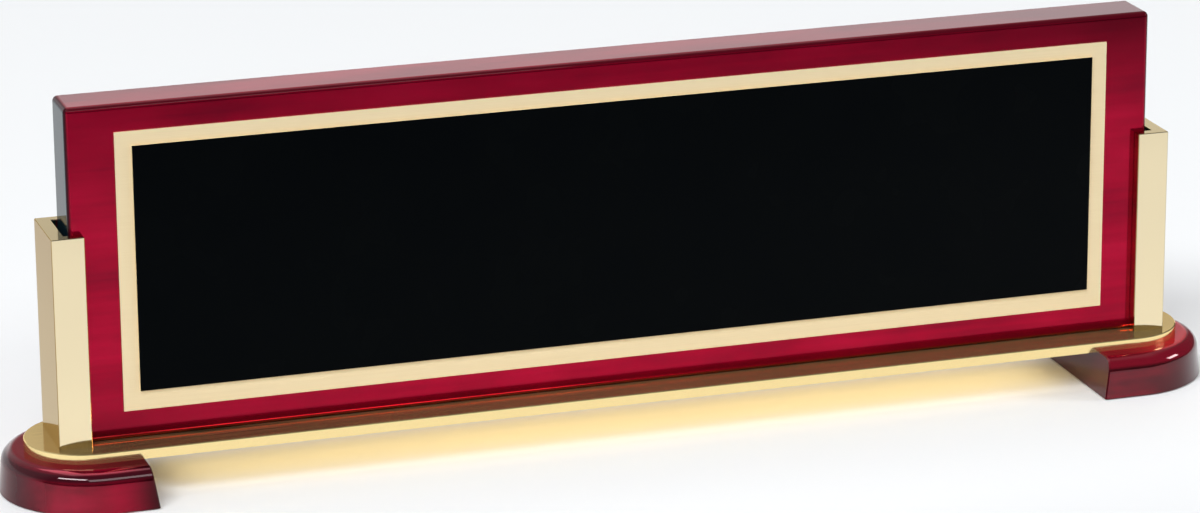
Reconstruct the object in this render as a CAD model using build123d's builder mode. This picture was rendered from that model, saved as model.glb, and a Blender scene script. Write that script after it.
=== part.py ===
import os

from build123d import *

os.makedirs("parts", exist_ok=True)

# Desk name plate: a lacquered board stands in two slotted metal posts on a flat metal bar,
# and the bar lies on two half-round wooden feet. Millimetres, +Z up, front towards -Y.
# The origin is on the desk, under the middle of the board.

# Name board, a 10 x 3 x 1/2 inch board
board_length = 254.0
board_height = 76.2
board_thickness = 12.7
board_edge_radius = 1.2

# Brass border plate, stuck to the board's front a little above its middle
border_thickness = 0.4
border_end_margin = 10.75
border_upper_margin = 6.1
border_lower_margin = 6.6

# Black engraving plate, stuck to the border plate a little above its middle
engraving_thickness = 0.4
engraving_end_margin = 3.7
engraving_upper_margin = 3.15
engraving_lower_margin = 4.45

# Adhesive sheets behind both plates
tape_thickness = 0.1
tape_inset = 1.0

# Posts, channels that are open at the top and take the ends of the board
slot_clearance = 0.2
slot_end_gap = 1.1
slot_engagement = 3.0
post_web = 3.3
post_flange = 2.45
post_height = 47.9
post_chamfer = 0.15

# Base bar, a flat bar with full-round ends
bar_thickness = 2.3
bar_side_margin = 4.95
bar_end_margin = 6.0
bar_chamfer = 0.2

# Feet, wider than the bar, flared towards the desk and rounded over at the top
foot_height = 9.25
foot_length = 31.3
foot_side_margin = 7.05
foot_end_margin = 5.8
foot_side_flare = 1.0
foot_inner_flare = 1.45
foot_round_over = 3.3
foot_inner_edge_chamfer = 0.3

# Felt pads under the feet
felt_thickness = 0.3
felt_inset = 1.6

# M2 screws that go up through foot and bar into the posts, two to a post, with washers
screw_diameter = 2.0
screw_edge_distance = 2.0
screw_engagement = 7.4
screw_clearance = 0.2
thread_clearance = 0.03
tapped_hole_run_out = 1.5
head_diameter = 4.0
head_height = 1.6
head_recess = 1.4
recess_arm_length = 2.3
recess_arm_width = 0.6
recess_depth = 0.9
washer_diameter = 5.0
washer_thickness = 0.3
washer_hole_clearance = 0.1
washer_clearance = 0.5

# Heights above the desk
foot_bottom = felt_thickness
foot_top = foot_bottom + foot_height
bar_top = foot_top + bar_thickness
board_middle = bar_top + board_height / 2

# Plates, from the board inwards
border_length = board_length - 2 * border_end_margin
border_height = board_height - border_upper_margin - border_lower_margin
border_middle = board_middle + (border_lower_margin - border_upper_margin) / 2
engraving_length = border_length - 2 * engraving_end_margin
engraving_height = border_height - engraving_upper_margin - engraving_lower_margin
engraving_middle = border_middle + (engraving_lower_margin - engraving_upper_margin) / 2

# Places across the front, from the board outwards
slot_width = board_thickness + 2 * slot_clearance
slot_depth = slot_engagement + slot_end_gap
slot_floor_x = board_length / 2 + slot_end_gap
post_width = slot_depth + post_web
post_depth = slot_width + 2 * post_flange
post_x = slot_floor_x + post_web - post_width / 2
slot_x = slot_floor_x - slot_depth / 2
bar_length = 2 * (post_x + post_width / 2 + bar_end_margin)
bar_width = post_depth + 2 * bar_side_margin
foot_radius = bar_width / 2 + foot_side_margin
foot_outer_x = bar_length / 2 + foot_end_margin
foot_inner_x = foot_outer_x - foot_length
foot_centre_x = foot_outer_x - foot_radius

# Screw places: in the post's web, near its front and rear
screw_x = slot_floor_x + post_web / 2
screw_y = post_depth / 2 - screw_edge_distance
head_pocket_depth = head_recess + head_height + washer_thickness
pocket_floor = foot_bottom + head_pocket_depth
head_top = pocket_floor - washer_thickness
screw_tip = bar_top + screw_engagement
tapped_hole_depth = screw_engagement + tapped_hole_run_out
screw_hole_radius = screw_diameter / 2 + screw_clearance
screw_rows = {"front": -screw_y, "rear": screw_y}


def underside(y, z):
    """A plane on the right-hand screws' line that faces the desk, so that a hole in it runs up."""
    return Plane(origin=(screw_x, y, z), x_dir=(1, 0, 0), z_dir=(0, 0, -1))


def save(part, node):
    part.label = node
    export_step(part, f"parts/{node}.step")


def save_pair(part, node):
    """Write a piece of the right-hand half, and its mirror image for the left."""
    save(part, f"right_{node}")
    save(mirror(part, about=Plane.YZ), f"left_{node}")


# Name board
with BuildPart(Plane.XY.offset(board_middle)) as name_board:
    Box(board_length, board_thickness, board_height)
    fillet(name_board.edges(), board_edge_radius)
save(name_board.part, "name_board")

# Plates and their adhesive sheets, one on the other, from the board's front face forwards
layer_back = board_thickness / 2
for plate, length, height, thickness, middle in (
    ("border_plate", border_length, border_height, border_thickness, border_middle),
    ("engraving_plate", engraving_length, engraving_height, engraving_thickness, engraving_middle),
):
    for node, inset, depth in ((f"{plate}_tape", tape_inset, tape_thickness), (plate, 0, thickness)):
        with BuildPart() as sheet:
            with BuildSketch(Plane.XZ.offset(layer_back)):
                with Locations((0, middle)):
                    Rectangle(length - 2 * inset, height - 2 * inset)
            extrude(amount=depth)
        save(sheet.part, node)
        layer_back += depth

# Base bar
with BuildPart() as base_bar:
    with BuildSketch(Plane.XY.offset(foot_top)):
        SlotOverall(bar_length, bar_width)
    extrude(amount=bar_thickness)
    chamfer(base_bar.faces().sort_by(Axis.Z)[-1].edges(), bar_chamfer)
    with Locations(Plane.XY.offset(bar_top)):
        with GridLocations(2 * screw_x, 2 * screw_y, 2, 2):
            Hole(screw_hole_radius)
save(base_bar.part, "base_bar")

# Post: a channel whose slot faces the board
with BuildPart() as post:
    with BuildSketch(Plane.XY.offset(bar_top)):
        with Locations((post_x, 0)):
            Rectangle(post_width, post_depth)
        with Locations((slot_x, 0)):
            Rectangle(slot_depth, slot_width, mode=Mode.SUBTRACT)
    extrude(amount=post_height)
    uprights = post.edges().filter_by(Axis.Z).group_by(Axis.Y)
    chamfer(uprights[0] + uprights[-1], post_chamfer)
    chamfer(post.faces().sort_by(Axis.Z)[-1].edges(), post_chamfer)
    with Locations(*[underside(y, bar_top) for y in screw_rows.values()]):
        Hole(screw_diameter / 2 + thread_clearance, tapped_hole_depth)
save_pair(post.part, "post")

# Foot: its half section turns about the upright axis of the half-round end, its whole section
# runs straight to the inner end, and that end slopes out towards the desk
with BuildPart() as foot:
    with BuildSketch(Plane.YZ.offset(foot_centre_x)) as half_section:
        with BuildLine():
            Polyline((0, foot_bottom), (-foot_radius, foot_bottom),
                     (foot_side_flare - foot_radius, foot_top), (0, foot_top), close=True)
        make_face()
        fillet(half_section.vertices().group_by(Axis.Y)[-1].sort_by(Axis.X)[0], foot_round_over)
    revolve(axis=Axis((foot_centre_x, 0, 0), (0, 0, 1)), revolution_arc=180)
    with BuildSketch(Plane.YZ.offset(foot_centre_x)):
        add(half_section.sketch_local)
        mirror(about=Plane.YZ)
    extrude(amount=-(foot_centre_x - foot_inner_x + foot_inner_flare))
    split(bisect_by=Plane((foot_inner_x, 0, foot_bottom), z_dir=(foot_height, 0, -foot_inner_flare)))
    inner_end = foot.faces().sort_by(Axis.X)[0]
    chamfer(inner_end.edges().sort_by(Axis.Z)[1:], foot_inner_edge_chamfer)
    with Locations(*[underside(y, foot_bottom) for y in screw_rows.values()]):
        CounterBoreHole(screw_hole_radius, washer_diameter / 2 + washer_clearance,
                        head_pocket_depth, foot_height)
save_pair(foot.part, "foot")

# Felt pad: the foot's outline, set in from its lower edge, under the screw pockets
pad_radius = foot_radius - felt_inset
pad_straight = foot_centre_x - foot_inner_x - felt_inset
with BuildPart() as felt_pad:
    with BuildSketch():
        with Locations((foot_centre_x, 0)):
            Circle(pad_radius)
            Rectangle(pad_radius, 2 * pad_radius, align=(Align.MAX, Align.CENTER), mode=Mode.SUBTRACT)
            Rectangle(pad_straight, 2 * pad_radius, align=(Align.MAX, Align.CENTER))
    extrude(amount=felt_thickness)
save_pair(felt_pad.part, "felt_pad")

for row, y in screw_rows.items():
    # Screw: a pan head with a cross recess below, the shank upwards
    with BuildPart() as screw:
        with BuildSketch(underside(y, head_top)):
            Circle(head_diameter / 2)
        extrude(amount=head_height)
        with BuildSketch(underside(y, head_top - head_height)):
            Rectangle(recess_arm_length, recess_arm_width)
            Rectangle(recess_arm_width, recess_arm_length)
        extrude(amount=-recess_depth, mode=Mode.SUBTRACT)
        with BuildSketch(Plane((screw_x, y, head_top))):
            Circle(screw_diameter / 2)
        extrude(amount=screw_tip - head_top)
    save_pair(screw.part, f"{row}_screw")

    # Washer between the screw head and the wood
    with BuildPart() as washer:
        with BuildSketch(Plane((screw_x, y, head_top))):
            Circle(washer_diameter / 2)
            Circle(screw_diameter / 2 + washer_hole_clearance, mode=Mode.SUBTRACT)
        extrude(amount=washer_thickness)
    save_pair(washer.part, f"{row}_washer")
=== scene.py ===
import math

import bpy
from mathutils import Matrix, Vector


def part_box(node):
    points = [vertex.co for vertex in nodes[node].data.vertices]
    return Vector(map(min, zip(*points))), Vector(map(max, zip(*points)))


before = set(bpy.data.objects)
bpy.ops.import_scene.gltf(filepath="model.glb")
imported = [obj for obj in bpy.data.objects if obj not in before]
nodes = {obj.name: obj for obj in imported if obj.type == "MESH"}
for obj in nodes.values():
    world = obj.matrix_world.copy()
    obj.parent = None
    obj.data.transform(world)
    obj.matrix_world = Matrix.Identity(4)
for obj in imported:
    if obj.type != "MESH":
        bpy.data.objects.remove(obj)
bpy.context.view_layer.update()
mm = 0.001  # the frame is in metres
print("frame loaded:", len(nodes), "pieces")

asColour = {"data_type": "RGBA"}
under, over, blended = 6, 7, 2  # a Mix node's sockets for colours
smooth = {"interpolation_type": "SMOOTHSTEP"}


def linear(hexColour):
    channels = [int(hexColour[i:i + 2], 16) / 255 for i in (1, 3, 5)]
    return [c / 12.92 if c <= 0.04045 else ((c + 0.055) / 1.055) ** 2.4 for c in channels] + [1.0]


def addNode(tree, kind, settings=None, inputs=None):
    node = tree.nodes.new("ShaderNode" + kind)
    for name, value in (settings or {}).items():
        setattr(node, name, value)
    for socket, value in (inputs or {}).items():
        if isinstance(value, bpy.types.NodeSocket):
            tree.links.new(value, node.inputs[socket])
        else:
            node.inputs[socket].default_value = value
    return node


# Inputs for a pair of values on the From or the To side of a MapRange node
def span(side, ends, unit=1.0):
    low, high = ends
    return {f"{side} Min": low * unit, f"{side} Max": high * unit}


def startMaterial(name):
    material = bpy.data.materials.new(name)
    material.use_nodes = True
    material.node_tree.nodes.clear()
    return material, material.node_tree


def setStops(ramp, stops):
    elements = ramp.color_ramp.elements
    while len(elements) < len(stops):
        elements.new(1.0)
    for element, (place, colour) in zip(elements, stops):
        element.position = place
        element.color = colour


def dress(material, *names):
    for name in names:
        nodes[name].material_slots[0].material = material


# Rosewood, dyed crimson and sprayed with piano lacquer: on flat faces the dyed fibres gleam red under clear
# gloss, with faint clouds and streaks along the grain. Rounded edges are darker, a painted dark reflection;
# the ends are dark end grain under a painted reflection, and the board's lower edges are orange, a painted
# reflection of the gold bar. The dark bands and the colours of edges and ends are matched to the
# photograph. A turn says how far a face turns to the side or upwards where a look begins and where it is
# full.
boardWood = {
    "dark": "#860225", "body": "#A3022B", "light": "#B50834",
    "figure": (0.32, 0.50, 0.68),  # where these three lie in the noise of clouds and streaks
    "cloud": (30.0, 9.0), "streak": (70.0, 1.3), "streakShare": 0.27,  # mm along and across the grain
    "pore": (9.0, 0.3), "poreRange": (0.64, 0.75), "poreDepth": 0.12,
    "grainRoughness": 0.55,
    "darkBand": "#5E0219",  # a darker colour, in bands that begin and are full at a distance along a way
    "bands": (((5.0, 0.0, 26.0), 2.3, 3.2), ((-6.0, 0.0, -40.0), -0.5, 0.8)),
    # Rounded top edges and round-overs: a painted dark reflection.
    "roundingShade": "#4E0816", "rounding": (0.22, 0.4, 0.9, 0.985),  # turns up where it fades in and out
    # Rounded side edges: a painted dark reflection; the same colour darkens the pores.
    "edge": "#340A16", "edgeTurn": (0.3, 0.7),
    # Ends: dark end grain under a painted cool reflection.
    "end": "#13262F", "endTurn": (0.9, 0.97),
    # Downward faces: a painted orange reflection of the gold bar.
    "lowReflection": "#8E2A18", "lowTurn": (-0.2, -0.5),
    "topTurn": (0.93, 0.99),
    "gleam": 0.8, "topGleam": 0.8, "edgeGleam": 0.1,  # share of the colour that gleams off the fibres
    "gleamRoughness": 0.13,
    "glossIor": 1.18, "glossRoughness": 0.03,
    "peel": 2.6, "peelHeight": 0.1, "peelStrength": 0.02,  # mm wide and high, the lacquer's faint ripple
}
# The feet's tops and sides also change from the inner to the outer part of a foot, matched as well.
leftFootWood = dict(
    boardWood, dark="#640618", body="#95082A", light="#AC1036", cloud=(22.0, 7.0), streak=(60.0, 1.4),
    darkBand="#30050D", bands=(((1.0, 0.0, 0.0), -0.122, -0.111), ((-1.0, 0.0, 0.0), 0.118, 0.165)),
    # The feet's rounded edges and ends get the same painted dark reflection as the board's.
    roundingShade="#3A0814", rounding=(0.22, 0.4, 0.7, 0.9), edge="#3A0A16", edgeTurn=(0.6, 0.95),
    end="#4E121A", lowReflection="#640618", topGleam=0.1, glossIor=1.35,
    outerPart=(116.0, 136.0),  # mm from the middle, where it begins and is full
    # Tops: painted darker on the inner part near the bar, a painted reflection of the bar's dark edge, and
    # lighter on the outer part, painted light.
    shadedInnerTop="#4A0812", litOuterTop="#6A0E1A", topShare=0.9,
    topGloss=(0.25, 0.4), sideGloss=(0.45, 1.0),  # share of the gloss on the inner and the outer part
    sideTurn=(0.2, 0.35))
rightFootWood = dict(
    leftFootWood, dark="#4C0412", body="#5C0618", light="#8C0E26",
    darkBand="#46060F", bands=(((1.0, 0.0, 0.0), 0.114, 0.138),),
    roundingShade="#700A1E", rounding=(0.22, 0.4, 0.93, 0.99), glossIor=1.42,
    shadedInnerTop="#7C0A1C", litOuterTop="#BA0E24", topGloss=(0.25, 1.0), sideGloss=(1.0, 1.0))


def woodFigure(tree, wood, place):
    def grainNoise(size, detail):
        along, across = (1 / (s * mm) for s in size)
        stretched = addNode(tree, "Mapping", inputs={"Vector": place, "Scale": (along, across, across)})
        noise = addNode(tree, "TexNoise", inputs={
            "Vector": stretched.outputs[0], "Scale": 1.0, "Detail": detail,
            "Roughness": wood["grainRoughness"]})
        return noise.outputs["Fac"]

    figure = addNode(tree, "Mix", inputs={
        "Factor": wood["streakShare"],
        "A": grainNoise(wood["cloud"], detail=3.0), "B": grainNoise(wood["streak"], detail=4.0)})
    colours = addNode(tree, "ValToRGB", inputs={"Fac": figure.outputs[0]})
    shades = [linear(wood[shade]) for shade in ("dark", "body", "light")]
    setStops(colours, list(zip(wood["figure"], shades)))
    pores = addNode(tree, "MapRange", inputs={
        "Value": grainNoise(wood["pore"], detail=2.0), **span("From", wood["poreRange"]),
        "To Max": wood["poreDepth"]})
    stainAndShade = addNode(tree, "Mix", asColour, {
        "Factor": pores.outputs[0], under: colours.outputs[0], over: linear(wood["edge"])})
    for way, begin, full in wood["bands"]:
        reach = addNode(tree, "VectorMath", {"operation": "DOT_PRODUCT"}, {0: place, 1: way})
        bandShare = addNode(tree, "MapRange", smooth, {
            "Value": reach.outputs["Value"], "From Min": begin, "From Max": full})
        stainAndShade = addNode(tree, "Mix", asColour, {
            "Factor": bandShare.outputs[0], under: stainAndShade.outputs[blended], over: linear(wood["darkBand"])})
    return stainAndShade


def footStainShadeAndGloss(tree, wood, stainAndShade, place, facing, onTop):
    where = addNode(tree, "SeparateXYZ", inputs={0: place})
    outwards = addNode(tree, "Math", {"operation": "ABSOLUTE"}, {0: where.outputs["X"]})
    outer = addNode(tree, "MapRange", smooth, {
        "Value": outwards.outputs[0], **span("From", wood["outerPart"], mm)})
    # The tops' colour is painted shade near the bar and painted light on the outer part.
    paintedTop = addNode(tree, "Mix", asColour, {
        "Factor": outer.outputs[0], under: linear(wood["shadedInnerTop"]), over: linear(wood["litOuterTop"])})
    topShare = addNode(tree, "Math", {"operation": "MULTIPLY"}, {0: onTop.outputs[0], 1: wood["topShare"]})
    stainedAndShaded = addNode(tree, "Mix", asColour, {
        "Factor": topShare.outputs[0], under: stainAndShade.outputs[blended], over: paintedTop.outputs[blended]})
    topGloss = addNode(tree, "MapRange", inputs={
        "Value": outer.outputs[0], **span("To", wood["topGloss"])})
    sideGloss = addNode(tree, "MapRange", inputs={
        "Value": outer.outputs[0], **span("To", wood["sideGloss"])})
    roundGloss = addNode(tree, "MapRange", inputs={
        "Value": facing.outputs["Z"], **span("From", wood["sideTurn"]), "To Min": sideGloss.outputs[0]})
    gloss = addNode(tree, "Mix", inputs={
        "Factor": onTop.outputs[0], "A": roundGloss.outputs[0], "B": topGloss.outputs[0]})
    return stainedAndShaded, gloss.outputs[0]


def rosewoodLacquer(name, wood):
    material, tree = startMaterial(name)
    coords = addNode(tree, "TexCoord")
    place = coords.outputs["Object"]
    facing = addNode(tree, "SeparateXYZ", inputs={0: coords.outputs["Normal"]})
    sideways = addNode(tree, "Math", {"operation": "ABSOLUTE"}, {0: facing.outputs["X"]})
    onTop = addNode(tree, "MapRange", inputs={
        "Value": facing.outputs["Z"], **span("From", wood["topTurn"])})
    stainAndShade = woodFigure(tree, wood, place)
    gloss = 1.0
    if "outerPart" in wood:
        stainAndShade, gloss = footStainShadeAndGloss(tree, wood, stainAndShade, place, facing, onTop)

    # Painted reflections by how a face turns: dark on rounded edges, cool on ends, orange on lower edges.
    rounding = addNode(tree, "ValToRGB", inputs={"Fac": facing.outputs["Z"]})
    black, white = (0, 0, 0, 1), (1, 1, 1, 1)
    setStops(rounding, list(zip(wood["rounding"], (black, white, white, black))))
    edgeShadeShare = addNode(tree, "MapRange", inputs={
        "Value": sideways.outputs[0], **span("From", wood["edgeTurn"])})
    endReflectionShare = addNode(tree, "MapRange", inputs={
        "Value": sideways.outputs[0], **span("From", wood["endTurn"])})
    lowReflectionShare = addNode(tree, "MapRange", inputs={
        "Value": facing.outputs["Z"], **span("From", wood["lowTurn"])})
    turned = {"roundingShade": rounding, "edge": edgeShadeShare, "end": endReflectionShare, "lowReflection": lowReflectionShare}
    for shade, share in turned.items():
        stainAndShade = addNode(tree, "Mix", asColour, {
            "Factor": share.outputs[0], under: stainAndShade.outputs[blended], over: linear(wood[shade])})

    darkShare = addNode(tree, "Math", {"operation": "MAXIMUM"}, {
        0: edgeShadeShare.outputs[0], 1: rounding.outputs[0]})
    flatGleam = addNode(tree, "MapRange", inputs={
        "Value": onTop.outputs[0], "To Min": wood["gleam"], "To Max": wood["topGleam"]})
    gleam = addNode(tree, "MapRange", inputs={
        "Value": darkShare.outputs[0], "To Min": flatGleam.outputs[0], "To Max": wood["edgeGleam"]})
    ripple = addNode(tree, "TexNoise", inputs={
        "Vector": place, "Scale": 1 / (wood["peel"] * mm), "Detail": 1.0})
    bump = addNode(tree, "Bump", inputs={
        "Height": ripple.outputs["Fac"], "Strength": wood["peelStrength"],
        "Distance": wood["peelHeight"] * mm})
    surface = addNode(tree, "BsdfPrincipled", inputs={
        "Base Color": stainAndShade.outputs[blended], "Metallic": gleam.outputs[0],
        "Roughness": wood["gleamRoughness"], "Specular IOR Level": 0.0,
        "Normal": bump.outputs[0], "Coat Normal": bump.outputs[0],
        "Coat Weight": gloss, "Coat Roughness": wood["glossRoughness"], "Coat IOR": wood["glossIor"]})
    addNode(tree, "OutputMaterial", inputs={"Surface": surface.outputs[0]})
    return material


# Brass, polished and gold plated: a clear mirror with a warm yellow tint. Between the posts the bar's top
# has fine brown lines, partly brushed lines and partly a painted reflection of the board, with more brown
# towards the left, a painted shade. The posts' sides and arrises are painted darker than their fronts, a
# painted reflection, and the sides are painted darker towards the top.
barGold = {
    "colour": "#FBE2A2", "edge": "#FAE3C9", "metal": 0.9, "roughness": (0.06, 0.16),
    "line": (26.0, 0.35), "groove": 0.004,  # mm along and across, and deep
    # Between the posts: brown lines, partly brushed and partly a painted reflection of the board, more of
    # it towards the left as painted shade.
    "brownLinesAndReflection": "#4A3418", "brownLineRange": (0.42, 0.62),
    "brownShare": (0.8, 0.2), "easing": (-100.0, -30.0),  # share, and mm to the right where it eases
    "brownFrom": (-137.0, -116.0), "brownTo": (122.0, 118.0),  # mm to the right, outside and full
}
postGold = {
    "colour": "#F1E0B9", "edge": "#F4EAD8", "metal": 1.0, "roughness": (0.06, 0.12),
    "line": (30.0, 0.4), "groove": 0.002,
    # Arrises and sides are painted darker than the fronts, a painted reflection; the sides are darker
    # towards the top, painted shade.
    "arrisShade": "#A88E60", "arrisTurn": (0.3, 0.6),
    "lowSideShade": "#C0AC84", "highSideShade": "#A8906A", "sideTurn": (0.8, 0.95),
    "sideHeights": (15.0, 58.0),  # mm above the desk, where the sides begin and stop to darken, a painted shade
}


# Brown on the bar's top: brushed lines in part and a painted reflection of the board in part, more towards
# the left as painted shade.
def brownedPlating(tree, look, lines, facing, where):
    grooves = addNode(tree, "MapRange", inputs={
        "Value": lines.outputs["Fac"], **span("From", look["brownLineRange"])})
    leftwardShade = addNode(tree, "MapRange", inputs={
        "Value": where.outputs["X"], **span("From", look["easing"], mm), **span("To", look["brownShare"])})
    fromLeft = addNode(tree, "MapRange", inputs={
        "Value": where.outputs["X"], **span("From", look["brownFrom"], mm)})
    toRight = addNode(tree, "MapRange", inputs={
        "Value": where.outputs["X"], **span("From", look["brownTo"], mm)})
    brownShare = facing.outputs["Z"]
    for share in (grooves, leftwardShade, fromLeft, toRight):
        product = addNode(tree, "Math", {"operation": "MULTIPLY"}, {0: brownShare, 1: share.outputs[0]})
        brownShare = product.outputs[0]
    return addNode(tree, "Mix", asColour, {
        "Factor": brownShare, under: linear(look["colour"]), over: linear(look["brownLinesAndReflection"])})


# Painted shade on the posts: darker arrises, and darker sides that darken further towards the top.
def shadedPlating(tree, look, facing, where):
    upwards = addNode(tree, "MapRange", inputs={
        "Value": where.outputs["Z"], **span("From", look["sideHeights"], mm)})
    sides = addNode(tree, "Mix", asColour, {
        "Factor": upwards.outputs[0], under: linear(look["lowSideShade"]), over: linear(look["highSideShade"])})
    arrisShare = addNode(tree, "MapRange", inputs={
        "Value": facing.outputs["X"], **span("From", look["arrisTurn"])})
    fronts = addNode(tree, "Mix", asColour, {
        "Factor": arrisShare.outputs[0], under: linear(look["colour"]), over: linear(look["arrisShade"])})
    sideShare = addNode(tree, "MapRange", inputs={
        "Value": facing.outputs["X"], **span("From", look["sideTurn"])})
    return addNode(tree, "Mix", asColour, {
        "Factor": sideShare.outputs[0], under: fronts.outputs[blended], over: sides.outputs[blended]})


def polishedGold(name, look, along):
    material, tree = startMaterial(name)
    coords = addNode(tree, "TexCoord")
    lineScale = [1 / (look["line"][0 if axis == along else 1] * mm) for axis in "XYZ"]
    stretched = addNode(tree, "Mapping", inputs={"Vector": coords.outputs["Object"], "Scale": lineScale})
    lines = addNode(tree, "TexNoise", inputs={"Vector": stretched.outputs[0], "Scale": 1.0, "Detail": 3.0})
    rough = addNode(tree, "MapRange", inputs={
        "Value": lines.outputs["Fac"], **span("To", look["roughness"])})
    bump = addNode(tree, "Bump", inputs={
        "Height": lines.outputs["Fac"], "Strength": 1.0, "Distance": look["groove"] * mm})
    bothWays = addNode(tree, "VectorMath", {"operation": "ABSOLUTE"}, {0: coords.outputs["Normal"]})
    facing = addNode(tree, "SeparateXYZ", inputs={0: bothWays.outputs[0]})
    where = addNode(tree, "SeparateXYZ", inputs={0: coords.outputs["Object"]})
    if "brownLinesAndReflection" in look:
        platingAndShade = brownedPlating(tree, look, lines, facing, where)
    else:
        platingAndShade = shadedPlating(tree, look, facing, where)
    surface = addNode(tree, "BsdfPrincipled", inputs={
        "Base Color": platingAndShade.outputs[blended], "Metallic": look["metal"], "Roughness": rough.outputs[0],
        "Specular Tint": linear(look["edge"]), "Normal": bump.outputs[0]})
    addNode(tree, "OutputMaterial", inputs={"Surface": surface.outputs[0]})
    return material


# Brass sheet with a satin finish: an even pale yellow with hair-fine lines along the plate, drawn a little
# coarse so that they show.
brassLook = {
    "colour": "#F3DFB5", "lineColour": "#F0DBB0", "lineRange": (0.45, 0.7), "metal": 0.2, "roughness": 0.5,
    "line": (40.0, 0.18), "lineHeight": 0.05, "lineStrength": 0.05,  # mm along and across, and high
}


def satinBrass(name, look):
    material, tree = startMaterial(name)
    coords = addNode(tree, "TexCoord")
    along, across = (1 / (s * mm) for s in look["line"])
    stretched = addNode(tree, "Mapping", inputs={
        "Vector": coords.outputs["Object"], "Scale": (along, across, across)})
    lines = addNode(tree, "TexNoise", inputs={"Vector": stretched.outputs[0], "Scale": 1.0, "Detail": 2.0})
    lineShare = addNode(tree, "MapRange", inputs={
        "Value": lines.outputs["Fac"], **span("From", look["lineRange"])})
    sheet = addNode(tree, "Mix", asColour, {
        "Factor": lineShare.outputs[0], under: linear(look["colour"]), over: linear(look["lineColour"])})
    bump = addNode(tree, "Bump", inputs={
        "Height": lines.outputs["Fac"], "Strength": look["lineStrength"],
        "Distance": look["lineHeight"] * mm})
    surface = addNode(tree, "BsdfPrincipled", inputs={
        "Base Color": sheet.outputs[blended], "Metallic": look["metal"], "Roughness": look["roughness"],
        "Normal": bump.outputs[0]})
    addNode(tree, "OutputMaterial", inputs={"Surface": surface.outputs[0]})
    return material


# Brass sheet with black lacquer on its face: deep, even black with a faint soft gleam, and bare cut edges.
blackLook = {
    "colour": "#020406", "haze": "#040607", "cloud": 14.0,  # mm
    "roughness": (0.2, 0.32), "mirror": 0.03,  # share of a plain lacquer's mirror
    "cutEdge": "#F9E5BB", "faceTurn": -0.5,
}


def blackLacquer(name, look):
    material, tree = startMaterial(name)
    coords = addNode(tree, "TexCoord")
    facing = addNode(tree, "SeparateXYZ", inputs={0: coords.outputs["Normal"]})
    faceShare = addNode(tree, "Math", {"operation": "LESS_THAN"}, {
        0: facing.outputs["Y"], 1: look["faceTurn"]})
    clouds = addNode(tree, "TexNoise", inputs={
        "Vector": coords.outputs["Object"], "Scale": 1 / (look["cloud"] * mm), "Detail": 2.0})
    rough = addNode(tree, "MapRange", inputs={
        "Value": clouds.outputs["Fac"], **span("To", look["roughness"])})
    hazed = addNode(tree, "Mix", asColour, {
        "Factor": clouds.outputs["Fac"], under: linear(look["colour"]), over: linear(look["haze"])})
    coat = addNode(tree, "Mix", asColour, {
        "Factor": faceShare.outputs[0], under: linear(look["cutEdge"]), over: hazed.outputs[blended]})
    surface = addNode(tree, "BsdfPrincipled", inputs={
        "Base Color": coat.outputs[blended], "Roughness": rough.outputs[0],
        "Specular Tint": [look["mirror"]] * 3 + [1.0]})
    addNode(tree, "OutputMaterial", inputs={"Surface": surface.outputs[0]})
    return material


# Pressed wool felt: dull, fuzzy and nearly black.
feltLook = {
    "colour": "#17161A", "fleck": "#2C2A30", "roughness": 0.95, "sheen": 0.4,
    "fibre": 0.8, "fuzzHeight": 0.2, "fuzzStrength": 0.8,  # mm wide and high
}


def woolFelt(name, look):
    material, tree = startMaterial(name)
    coords = addNode(tree, "TexCoord")
    fuzz = addNode(tree, "TexNoise", inputs={
        "Vector": coords.outputs["Object"], "Scale": 1 / (look["fibre"] * mm), "Detail": 6.0})
    flecks = addNode(tree, "Mix", asColour, {
        "Factor": fuzz.outputs["Fac"], under: linear(look["colour"]), over: linear(look["fleck"])})
    bump = addNode(tree, "Bump", inputs={
        "Height": fuzz.outputs["Fac"], "Strength": look["fuzzStrength"],
        "Distance": look["fuzzHeight"] * mm})
    surface = addNode(tree, "BsdfPrincipled", inputs={
        "Base Color": flecks.outputs[blended], "Roughness": look["roughness"],
        "Sheen Weight": look["sheen"], "Normal": bump.outputs[0]})
    addNode(tree, "OutputMaterial", inputs={"Surface": surface.outputs[0]})
    return material


# Steel screws and washers, bright zinc plated: cool grey metal with a slight cloudiness.
zincLook = {
    "colour": "#C4C7CC", "roughness": (0.22, 0.45),
    "cloud": 1.5,  # mm
}


def zincSteel(name, look):
    material, tree = startMaterial(name)
    coords = addNode(tree, "TexCoord")
    clouds = addNode(tree, "TexNoise", inputs={
        "Vector": coords.outputs["Object"], "Scale": 1 / (look["cloud"] * mm), "Detail": 3.0})
    rough = addNode(tree, "MapRange", inputs={
        "Value": clouds.outputs["Fac"], **span("To", look["roughness"])})
    surface = addNode(tree, "BsdfPrincipled", inputs={
        "Base Color": linear(look["colour"]), "Metallic": 1.0, "Roughness": rough.outputs[0]})
    addNode(tree, "OutputMaterial", inputs={"Surface": surface.outputs[0]})
    return material


# Transfer adhesive: a thin milky film with fine bubbles.
filmLook = {
    "colour": "#DCD8CC", "roughness": 0.5,
    "bubble": 0.6, "bubbleHeight": 0.02, "bubbleStrength": 0.3,  # mm wide and high
}


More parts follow.
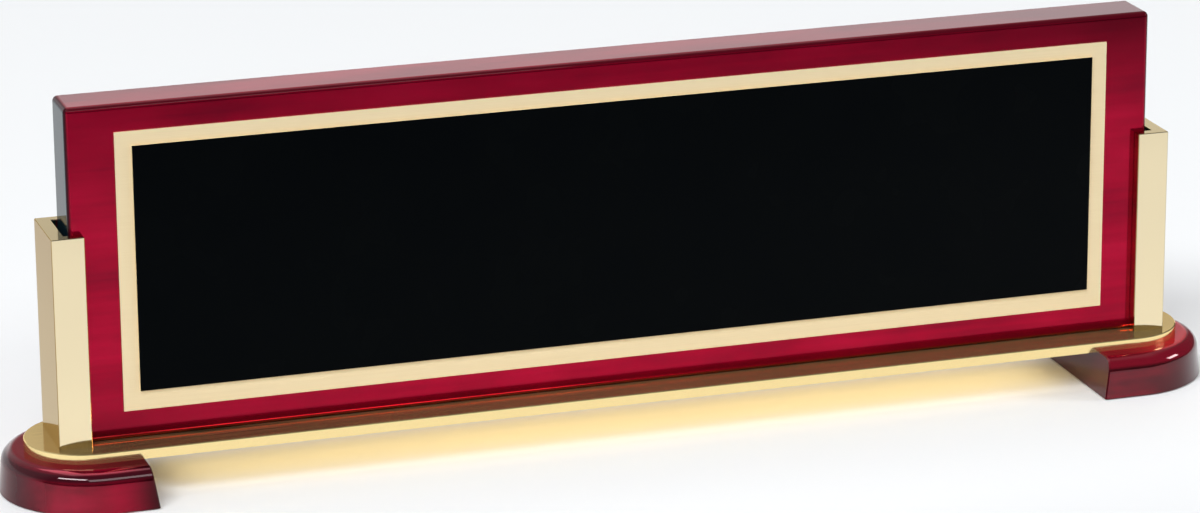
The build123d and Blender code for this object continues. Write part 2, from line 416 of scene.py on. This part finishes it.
def adhesiveFilm(name, look):
    material, tree = startMaterial(name)
    coords = addNode(tree, "TexCoord")
    bubbles = addNode(tree, "TexVoronoi", inputs={
        "Vector": coords.outputs["Object"], "Scale": 1 / (look["bubble"] * mm)})
    bump = addNode(tree, "Bump", inputs={
        "Height": bubbles.outputs["Distance"], "Strength": look["bubbleStrength"],
        "Distance": look["bubbleHeight"] * mm})
    surface = addNode(tree, "BsdfPrincipled", inputs={
        "Base Color": linear(look["colour"]), "Roughness": look["roughness"], "Normal": bump.outputs[0]})
    addNode(tree, "OutputMaterial", inputs={"Surface": surface.outputs[0]})
    return material


sides = ("left", "right")
rows = ("front", "rear")
dress(rosewoodLacquer("rosewoodPianoLacquerBoard", boardWood), "name_board")
dress(rosewoodLacquer("rosewoodPianoLacquerLeftFoot", leftFootWood), "left_foot")
dress(rosewoodLacquer("rosewoodPianoLacquerRightFoot", rightFootWood), "right_foot")
dress(polishedGold("goldPlatedBrassBar", barGold, "X"), "base_bar")
dress(polishedGold("goldPlatedBrassPosts", postGold, "Z"), *[f"{side}_post" for side in sides])
dress(satinBrass("satinBrassSheet", brassLook), "border_plate")
dress(blackLacquer("blackLacqueredBrass", blackLook), "engraving_plate")
dress(adhesiveFilm("transferAdhesive", filmLook), "border_plate_tape", "engraving_plate_tape")
dress(woolFelt("pressedWoolFelt", feltLook), *[f"{side}_felt_pad" for side in sides])
dress(zincSteel("zincPlatedSteel", zincLook), *[
    f"{side}_{row}_{piece}" for side in sides for row in rows for piece in ("screw", "washer")])
print("materials on")


# Rays by which the camera sees the table and the walls, straight or in a mirror
def seenRays(tree, path):
    share = path.outputs["Is Camera Ray"]
    for ray in ("Is Glossy Ray", "Is Transmission Ray"):
        either = addNode(tree, "Math", {"operation": "MAXIMUM"}, {0: share, 1: path.outputs[ray]})
        share = either.outputs[0]
    return share


# White table that runs back out of sight and ends softly in front. Its paper is a little darker in rings
# away from the part and towards the front, so that the open table stays below pure white; the lighter paper
# near the part is painted light that evens out the part's own shade on the table. It keeps the
# shadows, and a little light of its own for the camera and for mirrors lifts it.
tableTop = {
    "left": -4.0, "right": 4.0, "front": -0.42, "back": 4.0,  # metres
    "wholeFrom": -0.17,  # the sheet fades out between here and its front
    "paper": "#EDEFF1", "lift": 0.03,
    "farPaper": "#E6E8EA", "farRings": (0.04, 0.12),  # metres back where it begins and is full
    "ringShape": 0.5,  # depth of the rings for a width of 1
    "nearPaper": "#E0E2E5", "nearStrip": (-0.05, -0.15),
}


def whiteTable(name, look):
    material, tree = startMaterial(name)
    coords = addNode(tree, "TexCoord")
    where = addNode(tree, "SeparateXYZ", inputs={0: coords.outputs["Object"]})
    rings = addNode(tree, "Mapping", inputs={
        "Vector": coords.outputs["Object"], "Scale": (look["ringShape"], 1.0, 1.0)})
    away = addNode(tree, "VectorMath", {"operation": "LENGTH"}, {0: rings.outputs[0]})
    farShare = addNode(tree, "MapRange", smooth, {
        "Value": away.outputs["Value"], **span("From", look["farRings"])})
    graded = addNode(tree, "Mix", asColour, {
        "Factor": farShare.outputs[0], under: linear(look["paper"]), over: linear(look["farPaper"])})
    nearShare = addNode(tree, "MapRange", smooth, {
        "Value": where.outputs["Y"], **span("From", look["nearStrip"])})
    tinted = addNode(tree, "Mix", asColour, {
        "Factor": nearShare.outputs[0], under: graded.outputs[blended], over: linear(look["nearPaper"])})
    paper = addNode(tree, "BsdfDiffuse", inputs={"Color": tinted.outputs[blended]})
    seen = seenRays(tree, addNode(tree, "LightPath"))
    lift = addNode(tree, "Math", {"operation": "MULTIPLY"}, {0: seen, 1: look["lift"]})
    glow = addNode(tree, "Emission", inputs={"Strength": lift.outputs[0]})
    both = addNode(tree, "AddShader", inputs={0: paper.outputs[0], 1: glow.outputs[0]})
    laid = addNode(tree, "MapRange", smooth, {
        "Value": where.outputs["Y"], **span("From", (look["front"], look["wholeFrom"]))})
    gone = addNode(tree, "BsdfTransparent")
    sheet = addNode(tree, "MixShader", inputs={0: laid.outputs[0], 1: gone.outputs[0], 2: both.outputs[0]})
    addNode(tree, "OutputMaterial", inputs={"Surface": sheet.outputs[0]})
    return material


def layTable(look):
    corners = [(look[side], look[end], 0) for side, end in (
        ("left", "front"), ("right", "front"), ("right", "back"), ("left", "back"))]
    mesh = bpy.data.meshes.new("table")
    mesh.from_pydata(corners, [], [(0, 1, 2, 3)])
    table = bpy.data.objects.new("table", mesh)
    bpy.context.collection.objects.link(table)
    mesh.materials.append(whiteTable("whiteTablePaper", look))


# Studio round the table: a white sweep behind that turns grey overhead, a dim room in front and a dark flag
# to the right, which keeps the right foot from going pale.
studio = {
    "sweep": "#F8FBFC", "overhead": "#BABABA", "overheadFrom": (13.7, 17.4),  # degrees up
    "room": "#5E5E5E", "below": "#404040", "horizon": 3.0,  # degrees up and down where they meet
    "behind": (-0.3, 0.1),  # how far back a way points where the room ends and the sweep is full
    "flag": "#505050", "flagTurn": (0.43, 0.6),  # how far right it points where the flag begins and is full
    "fill": 0.7,  # strength of its light on the part
}


def lightStudio(look):
    world = bpy.data.worlds.new("studio")
    world.use_nodes = True
    bpy.context.scene.world = world
    tree = world.node_tree
    tree.nodes.clear()
    coords = addNode(tree, "TexCoord")
    way = addNode(tree, "SeparateXYZ", inputs={0: coords.outputs["Generated"]})
    height = addNode(tree, "MapRange", inputs={"Value": way.outputs["Z"], **span("From", (-1.0, 1.0))})

    def atHeight(degrees):
        return (1 + math.sin(math.radians(degrees))) / 2

    behind = addNode(tree, "ValToRGB", inputs={"Fac": height.outputs[0]})
    whiteUpTo, greyFrom = look["overheadFrom"]
    setStops(behind, ((atHeight(whiteUpTo), linear(look["sweep"])),
                      (atHeight(greyFrom), linear(look["overhead"]))))
    before = addNode(tree, "ValToRGB", inputs={"Fac": height.outputs[0]})
    setStops(before, ((atHeight(-look["horizon"]), linear(look["below"])),
                      (atHeight(look["horizon"]), linear(look["room"]))))
    flagShare = addNode(tree, "MapRange", inputs={
        "Value": way.outputs["X"], **span("From", look["flagTurn"])})
    flagged = addNode(tree, "Mix", asColour, {
        "Factor": flagShare.outputs[0], under: behind.outputs[0], over: linear(look["flag"])})
    backShare = addNode(tree, "MapRange", inputs={
        "Value": way.outputs["Y"], **span("From", look["behind"])})
    allRound = addNode(tree, "Mix", asColour, {
        "Factor": backShare.outputs[0], under: before.outputs[0], over: flagged.outputs[blended]})
    path = addNode(tree, "LightPath")
    walls = addNode(tree, "Mix", asColour, {
        "Factor": path.outputs["Is Camera Ray"],
        under: allRound.outputs[blended], over: linear(look["sweep"])})
    strength = addNode(tree, "MapRange", inputs={"Value": seenRays(tree, path), "To Min": look["fill"]})
    air = addNode(tree, "Background", inputs={
        "Color": walls.outputs[blended], "Strength": strength.outputs[0]})
    addNode(tree, "OutputWorld", inputs={"Surface": air.outputs[0]})


# A soft box to each side, whose windows show on the rounded feet, and wide ones overhead and in front.
softBoxes = {
    "topSoftBox": {"azimuth": 180.0, "elevation": 76.0, "size": (3.2, 3.2), "watts": 57.0},
    "frontSoftBox": {"azimuth": 0.0, "elevation": 38.0, "size": (2.4, 1.0), "watts": 41.0},
    "leftSoftBox": {"azimuth": -46.0, "elevation": 46.0, "size": (2.2, 0.55), "watts": 102.0},
    "rightSoftBox": {"azimuth": 74.0, "elevation": 24.0, "size": (1.2, 0.7), "watts": 50.0},
}
softBoxDistance = 4.0  # metres from the board's middle


def hangSoftBox(name, look, aim):
    azimuth, elevation = (math.radians(look[key]) for key in ("azimuth", "elevation"))
    away = Vector((math.sin(azimuth) * math.cos(elevation),
                   -math.cos(azimuth) * math.cos(elevation), math.sin(elevation)))
    lamp = bpy.data.lights.new(name, "AREA")
    lamp.shape = "RECTANGLE"
    lamp.size, lamp.size_y = look["size"]
    lamp.energy = look["watts"]
    box = bpy.data.objects.new(name, lamp)
    box.location = aim + away * softBoxDistance
    box.rotation_euler = away.to_track_quat("Z", "Y").to_euler()
    bpy.context.collection.objects.link(box)


# Warm glow on the table under the bar, a small lamp that stands for the light the gold throws down.
barGlow = {
    "colour": "#FFE4A6", "watts": 0.008, "spread": 120.0,
    "left": 33.0, "right": 31.0, "front": 6.5, "rear": 3.8,  # mm in from the bar's edges
    "gap": 0.3,  # mm below the bar
}


def hangBarGlow(look):
    low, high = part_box("base_bar")
    lamp = bpy.data.lights.new("barGlow", "AREA")
    lamp.shape = "RECTANGLE"
    lamp.size = high[0] - low[0] - (look["left"] + look["right"]) * mm
    lamp.size_y = high[1] - low[1] - (look["front"] + look["rear"]) * mm
    lamp.color = linear(look["colour"])[:3]
    lamp.energy = look["watts"]
    lamp.spread = math.radians(look["spread"])
    glow = bpy.data.objects.new("barGlow", lamp)
    glow.location = ((look["left"] - look["right"]) / 2 * mm, (look["front"] - look["rear"]) / 2 * mm,
                     low[2] - look["gap"] * mm)
    glow.visible_camera = glow.visible_glossy = False
    bpy.context.collection.objects.link(glow)


layTable(tableTop)
lightStudio(studio)
hangBarGlow(barGlow)
boardLow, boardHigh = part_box("name_board")
for boxName, boxLook in softBoxes.items():
    hangSoftBox(boxName, boxLook, (boardLow + boardHigh) / 2)
print("table and lights set")


# Camera where the photograph was taken, a long lens from the left and a little above.
photoCamera = {
    "place": (-0.3238, -0.98827, 0.36104),  # metres
    "heading": 17.922, "down": 17.143, "roll": -0.395,  # degrees
    "lens": 144.25, "sensor": 36.0,  # mm
    "sight": 20.0,  # metres
}


def setCamera(look):
    data = bpy.data.cameras.new("photoCamera")
    data.lens = look["lens"]
    data.sensor_width = look["sensor"]
    data.clip_end = look["sight"]
    camera = bpy.data.objects.new("photoCamera", data)
    heading, down, roll = (math.radians(look[key]) for key in ("heading", "down", "roll"))
    turn = (Matrix.Rotation(-heading, 4, "Z") @ Matrix.Rotation(math.pi / 2 - down, 4, "X")
            @ Matrix.Rotation(roll, 4, "Z"))
    camera.matrix_world = Matrix.Translation(look["place"]) @ turn
    bpy.context.collection.objects.link(camera)
    bpy.context.scene.camera = camera


setCamera(photoCamera)
bpy.context.scene.view_settings.view_transform = "Standard"
print("camera set")
